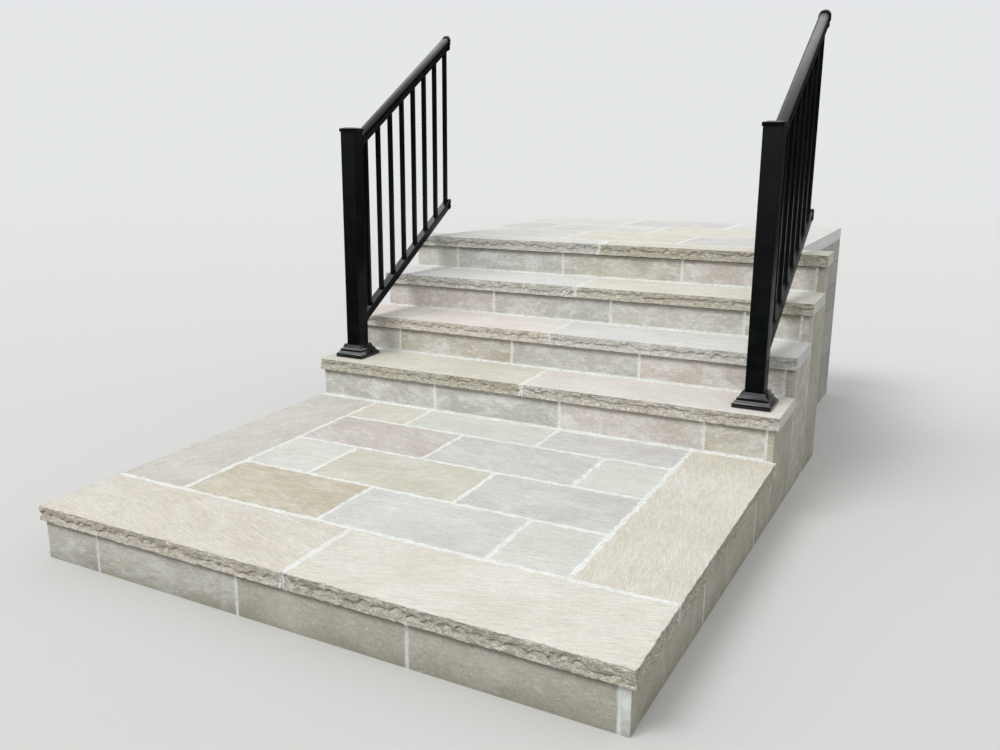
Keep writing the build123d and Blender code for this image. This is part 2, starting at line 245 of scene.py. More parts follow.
def figure_of(tree, place, figure):
    """The patterns of a finish by name, from a table of what each is like."""
    patterns = {}
    for name, (size, detail, roughness, wander, stretch) in figure.items():
        drawn = add(tree, "Mapping", place, inputs={"Scale": [1 / s for s in stretch]})
        patterns[name] = add(tree, "TexNoise", drawn, per_metre(size), detail, roughness,
                             inputs={"Distortion": wander})
    return patterns


def glaze(tree, colour, *layers):
    """A colour under thin layers: from low to high of its pattern, each goes from first to last."""
    for pattern, low, high, first, last, over in layers:
        share = add(tree, "MapRange", pattern, low, high, first, last)
        colour = add(tree, "Mix", share, colour, paint(over), data_type="RGBA")
    return colour


def shade(tree, colour, *layers):
    """A colour times grey layers: from low to high of its pattern, each goes from dark to pale."""
    light = 1.0
    for pattern, low, high, dark, pale in layers:
        factor = add(tree, "MapRange", pattern, low, high, dark, pale)
        light = add(tree, "Math", light, factor, operation="MULTIPLY")
    grey = add(tree, "CombineColor", light, light, light)
    return add(tree, "Mix", 1.0, colour, grey, data_type="RGBA", blend_type="MULTIPLY")


def relief(tree, *layers):
    """Bumps one on another, each with its height, its strength and its depth in metres."""
    under = {}
    for height, strength, depth in layers:
        bump = {"Strength": strength, "Distance": depth, "Height": height}
        raised = add(tree, "Bump", inputs=bump | under)
        under = {"Normal": raised}
    return raised


# Figures, by pattern: size of the features in millimetres, detail, roughness, how far they wander, and
# how far they are drawn out along the three axes, which for stone are its own length, width and height
even = (1, 1, 1)            # not drawn out
stone_figure = {
    "drifts": (260, 4, 0.60, 0.0, even),            # of the main colour towards the vein's
    "bands": (30, 6, 0.62, 1.1, (7, 1, 0.5)),       # of the bedding, which swirl a little
    "patches": (80, 8, 0.68, 0.5, (1.9, 1, 1)),     # of haze
    "wisps": (30, 7, 0.72, 1.4, (2.8, 1, 1)),       # of the same haze, narrower
    "flecks": (6, 4, 0.70, 0.0, (2.5, 1, 1)),       # nearly white
    "streaks": (4, 3, 0.60, 0.3, (14, 1, 1)),       # fine lines of the bedding
    "mottle": (11, 5, 0.70, 0.0, (2, 1, 1)),
    "grit": (4.5, 3, 0.75, 0.0, even),              # coarser than real grit, so that it shows
    "grain": (2.2, 1, 0.50, 0.0, even),             # grains of 1 to 2 mm, drawn so that they just show
    "beds": (3.2, 4, 0.62, 1.2, (5, 5, 1)),         # broken edges of the beds, on a pitched face
    "facets": (13, 4, 0.62, 0.9, (1.7, 1.7, 1)),    # hollows where flakes came off it
    "ragged": (38, 6, 0.62, 0.0, even),             # reach of the pointing smeared on to the stone
    "wear": (90, 3, 0.50, 0.0, even),               # smoother and rougher places
    "ripples": (24, 4, 0.50, 0.4, (3.5, 1, 1)),     # of the riven face
}
pointing_figure = {
    "damp": (120, 3, 0.5, 0.0, even),
    "worn": (16, 6, 0.7, 0.0, even),
    "sand": (1.8, 1, 0.5, 0.0, even),
    "trowel": (9, 4, 0.5, 0.0, even),
}
concrete_figure = {
    "clouds": (300, 5, 0.5, 0.0, even),
    "board grain": (9, 5, 0.6, 0.6, (25, 25, 1)),
}
coat_figure = {
    "dust": (70, 4, 0.5, 0.0, even),
    "peel": (2.5, 1, 0.5, 0.0, even),
}


# Colours that all the stone shares
white = "ffffff"
fleck_white = "f2f1ec"
# dark of the clefts on a pitched face: partly dirt, partly painted shade under the overhang
cleft_dirt_and_shade = "544c40"
smeared_cement = "f3f4f1"
# painted shade, with some dust, on a panel just under the nosing
nosing_shade_and_dust = "77736a"
splash_brown = "9d967f"


def sandstone(name, tone, vein, haze="e6e7e2", hazy=0.30, faced=white, riven=1.0, sawn=False):
    """Sandstone: quartz grains in a matte face, so no gloss; soft bands of tone follow the bedding.

    haze is the colour of a thin film on the face, and hazy its strength. faced tints the pitched faces,
    and riven is how strong the ripples of the riven face are.
    """
    made, tree, surface = new_material(name, roughness=0.86, specular=0.2)
    bed = add(tree, "Attribute", attribute_name="bed").outputs["Vector"]
    margin = add(tree, "Attribute", attribute_name="margin")
    rock = add(tree, "Attribute", attribute_name="rock").outputs["Fac"]
    cracked = add(tree, "Attribute", attribute_name="cleft").outputs["Fac"]
    figure = figure_of(tree, bed, stone_figure)
    colour = glaze(tree, paint(tone),
                   (figure["drifts"], 0.35, 0.65, 0, 1, vein),
                   (figure["bands"], 0.45, 0.64, 0, 0.8, vein),
                   (figure["patches"], 0.47, 0.62, 0, hazy, haze),
                   (figure["wisps"], 0.53, 0.64, 0, 1.1 * hazy, haze),
                   (figure["flecks"], 0.60, 0.70, 0, 0.7, fleck_white))
    colour = shade(tree, colour,
                   (figure["grain"], 0.30, 0.70, 0.93, 1.05),
                   (figure["streaks"], 0.32, 0.68, 0.87, 1.09),
                   (figure["mottle"], 0.32, 0.68, 0.94, 1.05),
                   (figure["grit"], 0.34, 0.66, 0.90, 1.10))

    # pitched faces: tinted, with the beds drawn as lines, painted light and shade on the facets, and dirt
    # with painted shade in the clefts
    lines = add(tree, "MapRange", figure["beds"], 0.38, 0.62)
    tint = add(tree, "Mix", lines, paint(faced), paint(white), data_type="RGBA")
    # painted light and shade: the facets are coloured lighter and darker, as if some catch the light and
    # some lie in shade
    tint = shade(tree, tint, (figure["facets"], 0.38, 0.62, 0.84, 1.17))
    pitched = add(tree, "Mix", 1.0, colour, tint, data_type="RGBA", blend_type="MULTIPLY")
    colour = add(tree, "Mix", rock, colour, pitched, data_type="RGBA")
    # the clefts darkened: dirt together with painted shade under the overhanging layer
    colour = glaze(tree, colour, (cracked, 0.25, 1.0, 0, 0.72, cleft_dirt_and_shade))

    # pointing smeared on to the stone along its joints: margin holds how far off four sides are
    near = list(add(tree, "SeparateColor", margin.outputs["Color"]).outputs)
    if not sawn:
        near.append(margin.outputs["Alpha"])
    edge = near[0]
    for other in near[1:]:
        edge = add(tree, "Math", edge, other, operation="MINIMUM")
    furthest = 0.004 if sawn else 0.010
    smear = add(tree, "MapRange", figure["ragged"], 0.38, 0.68, 0, furthest)
    beyond = add(tree, "Math", edge, smear, operation="SUBTRACT")
    colour = glaze(tree, colour, (beyond, -0.003, 0.003, 0.9, 0, smeared_cement))

    if sawn:
        # painted shade with some dust under the nosing, and splashes on the lowest few centimetres
        uneven = add(tree, "MapRange", figure["mottle"], 0.3, 0.7, -0.003, 0.003)
        under = add(tree, "Math", margin.outputs["Alpha"], uneven, operation="ADD")
        height = add(tree, "SeparateXYZ", add(tree, "TexCoord").outputs["Object"]).outputs["Z"]
        spatter = add(tree, "MapRange", figure["patches"], 0.3, 0.7, -0.02, 0.03)
        splashed = add(tree, "Math", height, spatter, operation="ADD")
        # the band under the nosing is painted shade with some dust; the splashes are soil
        colour = glaze(tree, colour,
                       (under, 0.008, 0.022, 0.5, 0, nosing_shade_and_dust),
                       (splashed, 0.01, 0.05, 0.30, 0, splash_brown))

    feed(surface["Base Color"], colour)
    feed(surface["Roughness"], add(tree, "MapRange", figure["wear"], 0.3, 0.7, 0.80, 0.94))
    # ripples where the stone was riven, facets and broken beds where it was pitched, and open grain all over
    feed(surface["Normal"], relief(tree,
                                   (figure["ripples"], 0.9 * riven, 0.0020),
                                   (figure["facets"], rock, 0.0045),
                                   (figure["beds"], rock, 0.0020),
                                   (figure["grain"], 0.5, 0.0004)))
    return made


def pointing(name):
    """Cement pointing: near white, sandy and matte, a little darker where it stays damp or is worn."""
    made, tree, surface = new_material(name, roughness=0.92)
    figure = figure_of(tree, add(tree, "TexCoord").outputs["Object"], pointing_figure)
    colour = glaze(tree, paint("f2f4f1"),
                   (figure["damp"], 0.35, 0.70, 0, 1, "e4e6e1"),
                   (figure["worn"], 0.48, 0.60, 0, 0.75, "c9cdc5"))
    feed(surface["Base Color"], shade(tree, colour, (figure["sand"], 0.3, 0.7, 0.94, 1.04)))
    feed(surface["Normal"], relief(tree, (figure["trowel"], 0.6, 0.001)))
    return made


board_width = 0.140         # of the boards that the concrete was cast against
air_hole_spacing = 26       # in millimetres


def cast_concrete(name):
    """Concrete cast against boards: grey and matte, with a fin at each seam, grain and air holes."""
    made, tree, surface = new_material(name, roughness=0.9)
    place = add(tree, "TexCoord").outputs["Object"]
    figure = figure_of(tree, place, concrete_figure)
    height = add(tree, "SeparateXYZ", place).outputs["Z"]
    boards_up = add(tree, "Math", height, board_width, operation="DIVIDE")
    course = add(tree, "Math", boards_up, operation="FLOOR")
    each = add(tree, "TexWhiteNoise", course, noise_dimensions="1D")
    from_seam = add(tree, "Math", height, board_width / 2, operation="PINGPONG")
    fin = add(tree, "MapRange", from_seam, 0.0008, 0.0035, 1, 0)
    holes = add(tree, "TexVoronoi", place, per_metre(air_hole_spacing))
    colour = glaze(tree, paint("a3a19b"), (figure["clouds"], 0.3, 0.7, 0, 1, "bab8b1"))
    colour = shade(tree, colour,
                   (each, 0, 1, 0.93, 1.05),
                   (figure["board grain"], 0.3, 0.7, 0.93, 1.05))
    # the air holes are painted dark, as painted shade inside the pits
    colour = glaze(tree, colour,
                   (holes, 0.05, 0.10, 0.7, 0, "5d5b57"),
                   (fin, 0, 1, 0, 1, "86847e"))
    feed(surface["Base Color"], colour)
    rim = add(tree, "MapRange", holes, 0.05, 0.14)
    feed(surface["Normal"], relief(tree,
                                   (rim, 0.6, 0.002),
                                   (figure["board grain"], 0.5, 0.001),
                                   (fin, 0.8, 0.002)))
    return made


def powder_coat(name, gloss, smoothest, dullest):
    """Black powder coat on aluminium: satin to gloss, with the faint orange peel of a baked film."""
    made, tree, surface = new_material(name, roughness=dullest, specular=gloss)
    figure = figure_of(tree, add(tree, "TexCoord").outputs["Object"], coat_figure)
    feed(surface["Base Color"], glaze(tree, paint("080b0b"), (figure["dust"], 0.5, 0.8, 0, 0.5, "121616")))
    feed(surface["Roughness"], add(tree, "MapRange", figure["dust"], 0.3, 0.7, smoothest, dullest))
    feed(surface["Normal"], relief(tree, (figure["peel"], 0.25, 0.0001)))
    return made


# Stones

def points_of(piece):
    """Places of a piece's points, one row each."""
    places = np.empty(3 * len(piece.data.vertices))
    piece.data.vertices.foreach_get("co", places)
    return places.reshape(-1, 3)


def store(piece, name, kind, values):
    """Keeps a value for each point, for the materials to read."""
    field = {"FLOAT": "value", "FLOAT_VECTOR": "vector", "FLOAT_COLOR": "color"}[kind]
    kept = piece.data.attributes.new(name, kind, "POINT")
    kept.data.foreach_set(field, np.ascontiguousarray(values).ravel())


def lay_out(stone, low, high, seed, joints="lrfb", turned=False, riser=False):
    """Keeps each point's place in the stone's own bed, and how far it is from each of four jointed sides.

    joints has a letter for each side: left, right, front, back, down, up, or a dash for none. turned tells
    that the stone's length runs up the steps, and riser that one stands at its back.
    """
    draw = random.Random(seed)
    points = points_of(stone)
    askew = draw.uniform(-most_askew, most_askew)
    flipped = draw.random() < 0.5
    turn = np.array(Matrix.Rotation(askew + (pi / 2 if turned else 0) + (pi if flipped else 0), 3, "Z"))
    start = np.array([draw.uniform(*own_start) for _ in range(3)])
    middle = np.array((low + high) / 2)
    store(stone, "bed", "FLOAT_VECTOR", (points - middle) @ turn.T + start)
    sides = {
        "l": points[:, 0] - low.x,
        "r": high.x - points[:, 0],
        "f": points[:, 1] - low.y,
        "b": high.y - points[:, 1] - (foot_smear if riser else 0),
        "d": points[:, 2] - low.z - foot_smear,
        "u": high.z - points[:, 2],
        "-": np.ones(len(points)),
    }
    near = [sides[letter] for letter in joints.ljust(4, "-")]
    store(stone, "margin", "FLOAT_COLOR", np.stack(near, axis=1))


def grid_lines(start, end, cell, close=""):
    """Lines about a cell apart; close names the ends where they draw together: s for start, e for end."""
    near = []
    gap = first_cell
    while close and gap < cell:
        near.append(gap)
        gap *= cell_growth
    inner = end - start - sum(near) * len(close)
    count = max(1, round(inner / cell))
    at_start = near if "s" in close else []
    at_end = near[::-1] if "e" in close else []
    return start + np.cumsum([0] + at_start + [inner / count] * count + at_end)


def block(name, columns, lines, level, rows):
    """A slab: a grid laid to the fall, its lines spaced as given, drawn down to its underside in rows."""
    bpy.ops.mesh.primitive_grid_add(x_subdivisions=len(columns) - 1, y_subdivisions=len(lines) - 1, size=1)
    stone = bpy.context.object
    stone.name = name
    points = points_of(stone)
    points[:, 0] = columns[np.rint((points[:, 0] + 0.5) * (len(columns) - 1)).astype(int)]
    points[:, 1] = lines[np.rint((points[:, 1] + 0.5) * (len(lines) - 1)).astype(int)]
    points[:, 2] = level(points[:, 1])
    stone.data.vertices.foreach_set("co", points.ravel())
    step = {"value": (0, 0, -slab_thickness / rows)}
    edit(stone,
         *[lambda: bpy.ops.mesh.extrude_region_move(TRANSFORM_OT_translate=step)] * rows,
         lambda: bpy.ops.mesh.dissolve_faces(),
         outward)
    return stone


def group(stone, name, weights):
    """A vertex group from one weight for each point."""
    made = stone.vertex_groups.new(name=name)
    for k in np.flatnonzero(weights > 0):
        made.add([int(k)], min(float(weights[k]), 1.0), "REPLACE")
    return name


def clouds(name, size, depth):
    """A cloudy texture for carving, with features of the given size in metres."""
    made = bpy.data.textures.new(name, "CLOUDS")
    made.noise_scale = size
    made.noise_depth = depth
    return made


swell = clouds("swells", 0.11, 3)
waver = clouds("wavers", 0.05, 2)


def carve(stone, where, axis, depth, texture=None):
    """Moves the points of a group along an axis, by a depth for weight 1, times the texture if any."""
    apply_modifier(stone, "DISPLACE", texture=texture, vertex_group=where, direction=axis, strength=depth,
                   mid_level=0.0, texture_coords="LOCAL")


def held(values, low=0, high=1):
    """Values held between two ends."""
    return np.clip(values, low, high)


def drift(draw, along, size, down=None, size_down=1.0):
    """Smooth chance values from -1 to 1 along a line, or over a face, with features of the given size."""
    down = np.zeros_like(along) if down is None else down
    u = (along - along.min()) / size
    v = (down - down.min()) / size_down
    seed = draw.randrange(10 ** 6)
    chance = np.random.default_rng(seed).uniform(-1, 1, (int(u.max()) + 2, int(v.max()) + 2))
    i, j = u.astype(int), v.astype(int)
    a, b = [share * share * (3 - 2 * share) for share in (u - i, v - j)]
    return ((chance[i, j] * (1 - a) + chance[i + 1, j] * a) * (1 - b)
            + (chance[i, j + 1] * (1 - a) + chance[i + 1, j + 1] * a) * b)


# A pitched face: lengths and cut-backs in metres, and heights down it as shares of the slab's thickness
main_scallop = 0.070        # widest scallop of the main split
minor_scallop = 0.030       # and of the lesser splits above and below it
narrowest = 0.35            # least width of a scallop, as a share of the widest
scallop_lift = 0.09         # a scallop is set up or down by up to this
scallop_arch = (-0.05, 0.30)        # and arched by this much, upwards where above nought
main_span = (0.16, 0.80)    # the main split stays between these heights
upper_split = 0.45          # a lesser split this share of the way down to the main one
lower_split = 0.5           # and one this share of the way from there to the foot
minor_span = (0.05, 0.92)
least_cut = 0.0014          # cut-back at the arris and at the foot
lean_cut = 0.0036           # how much further back the stone leans down to the main split
step_height = 0.045         # height of the step under it
lip_curve = 1.3             # how the stone comes out again from the step to the foot
cleft_below = 0.02          # a cleft is deepest this far below its split
cleft_height = 0.045
minor_cut = 0.0045
minor_height = 0.04
minor_tail = 0.22           # the cut of a lesser split fades out over this
minor_cleft = 0.6           # how deep its cleft is beside that of the main split
minor_cleft_height = 0.035
chip_cut = 0.009            # depth of chips off the arris
chip_height = 0.22
foot_chip_cut = 0.003
foot_chip_height = 0.14
shallowest = 0.0002         # no point stands nearer to the sawn line than this
rough_break = ((0.0016, 0.011, 0.13), (0.0006, 0.030, 0.05))    # depth, length and height of its roughness

# What varies along it: middle value, how far from that it varies, and over what length in metres
varying = {
    "wander": (0.0, 0.07, 0.130),           # of the main split's height
    "tremor": (0.0, 0.04, 0.012),           # of each split's height
    "step": (0.0065, 0.0025, 0.050),        # cut-back below the main split
    "cleft": (0.75, 0.5, 0.030),            # depth of its cleft
    "minor": (0.3, 1.0, 0.050),             # strength of a lesser split
    "small chips": (-0.2, 1.0, 0.017),      # these leave a mark only where they are above nought
    "large chips": (-0.3, 1.0, 0.050),
    "foot chips": (-0.2, 1.0, 0.020),
}


def vary(draw, along, name):
    """One of the values above, along a line."""
    middle, spread, size = varying[name]
    return middle + spread * drift(draw, along, size)


def split(draw, along, widest):
    """A split's wandering line: scallops end to end, each with its own lift, and a slight tremor."""
    starts = [along.min() - widest * draw.random()]
    while starts[-1] <= along.max():
        starts.append(starts[-1] + widest * draw.uniform(narrowest, 1))
    starts = np.array(starts)
    k = np.searchsorted(starts, along, side="right") - 1
    share = (along - starts[k]) / (starts[k + 1] - starts[k])
    lift = np.array([draw.uniform(-scallop_lift, scallop_lift) for _ in starts])[k]
    arch = np.array([draw.uniform(*scallop_arch) for _ in starts])[k]
    return lift - arch * 4 * share * (1 - share) + vary(draw, along, "tremor")


def hump(off, height):
    """A smooth hump around nought."""
    return np.exp(-(off / height) ** 2)


def pitch(draw, along, down, height, lean, crumbly):
    """Cut-back of a pitched face in metres, and how deep in a cleft each point lies.

    Above the split the stone leans back under its arris; below it a lip stands out again to the foot.
    """
    slope = lean * (along - along.min()) / np.ptp(along)
    line = height + slope + split(draw, along, main_scallop) + vary(draw, along, "wander")
    line = held(line, *main_span)
    above = held(down / line)
    below = held((down - line) / (1 - line))
    step = vary(draw, along, "step")
    opened = held((down - line) / step_height)
    cut = least_cut + lean_cut * above * (1 - below) + step * opened * (1 - below) ** lip_curve
    # the cleft value darkens the colour just under each split, as dirt and painted shade
    cleft = hump(down - line - cleft_below, cleft_height) * held(vary(draw, along, "cleft"))
    for level in (line * upper_split, line + (1 - line) * lower_split):
        minor = held(level + split(draw, along, minor_scallop), *minor_span)
        fresh = held((down - minor) / minor_height) * held(1 - (down - minor) / minor_tail)
        strength = crumbly * held(vary(draw, along, "minor"))
        cut += minor_cut * strength * fresh
        cleft += minor_cleft * strength * hump(down - minor - cleft_below, minor_cleft_height)
    chips = held(vary(draw, along, "small chips")) + held(vary(draw, along, "large chips"))
    cut += chip_cut * chips * held(1 - down / chip_height)
    foot_chips = held(vary(draw, along, "foot chips"))
    cut += foot_chip_cut * foot_chips * held((down - (1 - foot_chip_height)) / foot_chip_height)
    cut += sum(depth * drift(draw, along, size, down, tall) for depth, size, tall in rough_break)
    return held(cut, shallowest, None), held(cleft)


def rock_face(stone, low, high, level, side, draw, **look):
    """Works out one pitched side of a slab.

    Returns the group to cut back, its axis and depth, the group of its arris, and two values for each
    point: whether it is on the face, and how deep in a cleft.
    """
    points = points_of(stone)
    across, along = (1, 0) if side in "fb" else (0, 1)
    edge = {"f": low.y, "b": high.y, "l": low.x, "r": high.x}[side]
    bite = front_bite if side == "f" else side_bite
    inward = 1 if side in "lf" else -1
    off = np.abs(points[:, across] - edge)
    down = held((level(points[:, 1]) - points[:, 2]) / slab_thickness)
    face = off < same_place
    walked = down < on_face / slab_thickness
    cut, cleft = pitch(draw, points[:, along], down, **look)
    weight = bite * cut / deepest * held(1 - off / drawn_back)
    worn = np.where(walked, held(cut / arris_cut) * held(1 - off / arris_width) * bite, 0)
    return (group(stone, "cut_" + side, weight), "XY"[across], inward * deepest,
            group(stone, "worn_" + side, worn), np.where(face, 1.0, 0), np.where(face, cleft * bite, 0))


def slab(name, low, high, fall, seed, joints="lrfb", turned=False, riser=False, rock="", **look):
    """A riven slab; rock names the sides with a rock face, and riser tells that one stands at its back."""
    def level(y):
        return high.z - fall * (high.y - y)

    draw = random.Random(seed + rock_seeds)
    rock_ends = "".join(end for side, end in (("l", "s"), ("r", "e")) if side in rock)
    rock_fronts = "".join(end for side, end in (("f", "s"), ("b", "e")) if side in rock)
    columns = grid_lines(low.x, high.x, fine_cell if rock_fronts else coarse_cell,
                         "" if rock_fronts else rock_ends)
    lines = grid_lines(low.y, high.y, fine_cell if rock_ends else coarse_cell,
                       "" if rock_ends else rock_fronts)
    stone = block(name, columns, lines, level, rock_rows if rock else plain_rows)
    lay_out(stone, low, high, seed, joints, turned, riser)
    faces = [rock_face(stone, low, high, level, side, draw, **look) for side in rock]
    points = points_of(stone)
    walked = group(stone, "walked", np.abs(points[:, 2] - level(points[:, 1])) < on_face)
    flanks = []
    for side, column, edge, outward_by in (("l", 0, low.x, -1), ("r", 0, high.x, 1),
                                           ("f", 1, low.y, -1), ("b", 1, high.y, 1)):
        if side in joints:
            flank = group(stone, "flank_" + side, np.abs(points[:, column] - edge) < on_face)
            flanks.append((flank, "XY"[column], side_waver * outward_by))
    if rock:
        store(stone, "rock", "FLOAT", np.max([face[4] for face in faces], axis=0))
        store(stone, "cleft", "FLOAT", np.max([face[5] for face in faces], axis=0))
    for cut, axis, depth, arris, _, _ in faces:
        carve(stone, cut, axis, depth)
        carve(stone, arris, "Z", -arris_drop)
    carve(stone, walked, "Z", -riven_relief, swell)
    for flank, axis, depth in flanks:
        carve(stone, flank, axis, depth, waver)
    soften(stone, smooth_under)
    return stone


# Tones of the quarried stone, as laid: main colour and the colour of its veins
tones = {
    "buff": ("e0dccf", "d3cdbd"),
    "cream": ("e9e6dc", "ddd7c9"),
    "rose cream": ("efe8e0", "e2d9cf"),
    "rose grey": ("d2cac3", "c5bbb4"),
    "warm grey": ("d5d1c8", "c9c3b9"),
    "rosy buff": ("e2dbcf", "d6cec0"),
    "olive buff": ("d9d5c7", "ccc7b6"),
    "lilac grey": ("d8d5d1", "cbc8c4"),
    "sage grey": ("dfe0d7", "d3d4ca"),
    "rust buff": ("d0c8b5", "c4baa4"),
    "silver grey": ("dddcd7", "d0cec9"),
    "pale silver": ("e8e7e3", "dbdad5"),
    "pale rose": ("ece7e0", "dfd8cf"),
}
# Tones whose pitched faces are hardly browner than their tops
light_faced = ("rosy buff", "pale silver", "silver grey", "rose cream")
slab_stone = {}
for tone, pair in tones.items():
    faced = "e2ddd3" if tone in light_faced else "c0baad"
    slab_stone[tone] = sandstone("riven sandstone " + tone, *pair, faced=faced)
grout = pointing("cement pointing")
core_face = cast_concrete("cast concrete")
black_coat = powder_coat("satin black powder coat on extruded aluminium", 0.13, 0.20, 0.30)
gloss_coat = powder_coat("gloss black powder coat on cast aluminium", 0.42, 0.12, 0.20)

# Single stones with pitched edges: node, fall, pitched sides, jointed sides, tone, then how far down the
# edge the split lies, as a share, how much it runs downhill along the edge, and how crumbly the stone is
nosed = [
    ("coping_front_left", platform_fall, "fl", "rb", "rosy buff", 0.50, 0.05, 1.0),
    ("coping_front_right", platform_fall, "fr", "lb", "cream", 0.42, 0.22, 0.25),
    ("coping_left", platform_fall, "l", "rfb", "warm grey", 0.45, 0.0, 0.6),
    ("coping_right", platform_fall, "r", "lfb", "buff", 0.45, 0.1, 0.5),
    ("tread_a_left", tread_fall, "f", "rb", "buff", 0.42, 0.15, 0.8),
    ("tread_a_right", tread_fall, "f", "lb", "pale rose", 0.50, -0.1, 1.0),
    ("tread_b_left", tread_fall, "f", "rb", "rose cream", 0.40, 0.1, 0.7),
    ("tread_b_right", tread_fall, "f", "lb", "pale silver", 0.52, 0.0, 0.7),
    ("tread_c_left", tread_fall, "f", "rb", "pale silver", 0.55, 0.1, 1.0),
    ("tread_c_right", tread_fall, "f", "lb", "cream", 0.45, 0.0, 0.9),
    ("landing_nosing_left", tread_fall, "f", "rb", "silver grey", 0.60, -0.1, 1.0),
    ("landing_nosing_right", tread_fall, "f", "lb", "buff", 0.50, 0.0, 0.8),
]
lengthways = ("coping_left", "coping_right")        # bedded along the steps' depth

# What each riser stands on
stood_on = {
    "a": ["coping_left", "coping_right", "paving_row_1"],
    "b": ["tread_a_left", "tread_a_right"],
    "c": ["tread_b_left", "tread_b_right"],
    "d": ["tread_c_left", "tread_c_right"],
}
under_riser = set(sum(stood_on.values(), []))
for number, (node, fall, rock, joints, tone, height, lean, crumbly) in enumerate(nosed):
    low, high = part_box(node)
    stone = slab(node + "_stone", low, high, fall, number, joints, node in lengthways, node in under_riser,
                 rock, height=height, lean=lean, crumbly=crumbly)
    finish_in(stone, slab_stone[tone])
    settle([stone], node + "_stone", node)

# Rows of paving: node, fall, jointed sides, tones from left to right
rows = [
    ("paving_row_1", platform_fall, "lrfb", ["buff", "sage grey", "lilac grey"]),
    ("paving_row_2", platform_fall, "lrfb", ["rose grey", "lilac grey", "sage grey"]),
    ("paving_row_3", platform_fall, "lrfb", ["sage grey", "olive buff", "lilac grey"]),
    ("paving_row_4", platform_fall, "lrfb", ["rust buff", "silver grey", "sage grey"]),
    ("landing_row_1", landing_fall, "lrfb", ["silver grey", "buff", "lilac grey"]),
    ("landing_row_2", landing_fall, "lrfb", ["lilac grey", "silver grey", "buff", "silver grey"]),
    ("landing_row_3", landing_fall, "lrf", ["silver grey", "lilac grey", "silver grey"]),
]
for number, (node, fall, joints, row_tones) in enumerate(rows):
    laid = []
    for k, solid in enumerate(solids(node)):
        low, high = box_of(solid)
        bpy.data.objects.remove(solid)
        seed = row_seeds + seeds_a_row * number + k
        stone = slab(f"{node}_{k}", low, high, fall, seed, joints, riser=node in under_riser)
        finish_in(stone, slab_stone[row_tones[k % len(row_tones)]])
        laid.append(stone)
    settle(laid, node + "_stones", node)

# Sawn cladding: clean copies with eased edges. Each tone has its main colour, its veins, and the film that
# the saw and the weather left on it, with its strength
panel_tones = {
    "warm": ("cfcabd", "bfb8a9", "ebebe7", 0.6),
    "cool": ("cfcec7", "bfbdb5", "ebebe7", 0.6),
    "pale": ("d8d5cc", "cac6bb", "ebebe7", 0.6),
    "rose": ("d9d1c9", "cac1b7", "ebebe7", 0.6),
    "olive": ("d3d0c3", "c4bfb1", "ebebe7", 0.6),
    "brown": ("c6bfb0", "b7af9e", "d8d6cb", 0.4),
    "drab": ("c8c4b6", "bab4a5", "d8d6cb", 0.4),
}
panel_stone = {tone: sandstone("sawn sandstone " + tone, *look, riven=0.35, sawn=True)
               for tone, look in panel_tones.items()}
panel_order = {
    "platform_front_panels": ["olive", "olive", "drab", "drab"],
    "platform_right_panels": ["brown"],
    "flight_right_panels": ["brown", "warm", "brown"],
    "riser_a_panels": ["cool", "cool", "rose", "warm"],
    "riser_b_panels": ["pale", "warm", "cool", "rose"],
    "riser_d_panels": ["pale", "cool", "warm", "rose"],
}
usual_order = ["pale", "warm", "cool", "rose"]
next_order = ["cool", "pale", "warm"]
panel_arris = 0.0015
cladding = sorted(n for n in frame["nodes"] if n.endswith("_panels"))
for number, node in enumerate(cladding):
    laid = solids(node)
    order = panel_order.get(node, usual_order[number % len(usual_order):] + next_order)
    riser = node.split("_")[1] if node.startswith("riser") else ""
    for k, panel in enumerate(laid):
        low, high = box_of(panel)
        if high.x - low.x > high.y - low.y:
            joints = "lr"
        else:
            joints = "-b" if "flight" in node else "fb"
        joints += "d" if riser else "-"
        if riser:
            low.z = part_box(stood_on[riser][0])[1].z     # its foot is hidden behind the slab in front
        ease(panel, panel_arris, stone_corner)
        lay_out(panel, low, high, panel_seeds + seeds_a_course * number + k, joints + "u")
        soften(panel, smooth_under)
        finish_in(panel, panel_stone[order[k % len(order)]])
    settle(laid, node + "_sawn", node)

# Railings: clean copies with the small radii of extrusions and castings
radii = {"post": 0.0006, "post_cap": 0.0015, "base_cover": 0.0010, "top_rail": 0.0006, "bottom_rail": 0.0006,
         "balusters": 0.0012, "brackets": 0.0006}
for side in ("left", "right"):
    for kind, radius in radii.items():
        node = f"{side}_{kind}"
        laid = solids(node)
        for piece in laid:
            ease(piece, radius, metal_corner)
            soften(piece, smooth_under)
            finish_in(piece, gloss_coat if kind == "base_cover" else black_coat)
        settle(laid, node + "_coated", node)

bead_radius = 0.0045
bead_sides = 12
bead_length = 0.012         # of one length of the roll, between two rings of points
lump_size = 0.03
lump_height = 0.006


def bead(name, start, length):
    """A thin uneven roll of pointing, trowelled into the corner at a riser's foot and mostly sunk in it."""
    bpy.ops.mesh.primitive_circle_add(vertices=bead_sides, radius=bead_radius, fill_type="NGON",
                                      location=start, rotation=(0, pi / 2, 0))
    roll = bpy.context.object
    roll.name = name
    place_whole(roll)
    count = round(length / bead_length)
    step = {"value": (length / count, 0, 0)}
    edit(roll,
         *[lambda: bpy.ops.mesh.extrude_region_move(TRANSFORM_OT_translate=step)] * count,
         outward)
    everywhere = group(roll, "roll", np.ones(len(roll.data.vertices)))
    apply_modifier(roll, "DISPLACE", texture=clouds(name + "_lumps", lump_size, 3), vertex_group=everywhere,
                   direction="NORMAL", strength=lump_height, mid_level=0.5)
    soften(roll, smooth_round)
    finish_in(roll, grout)
    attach(roll, "root")


for letter, stones in stood_on.items():
    low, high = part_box(f"riser_{letter}_panels")
    bead(f"riser_{letter}_pointing", (low.x, low.y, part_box(stones[0])[1].z), high.x - low.x)

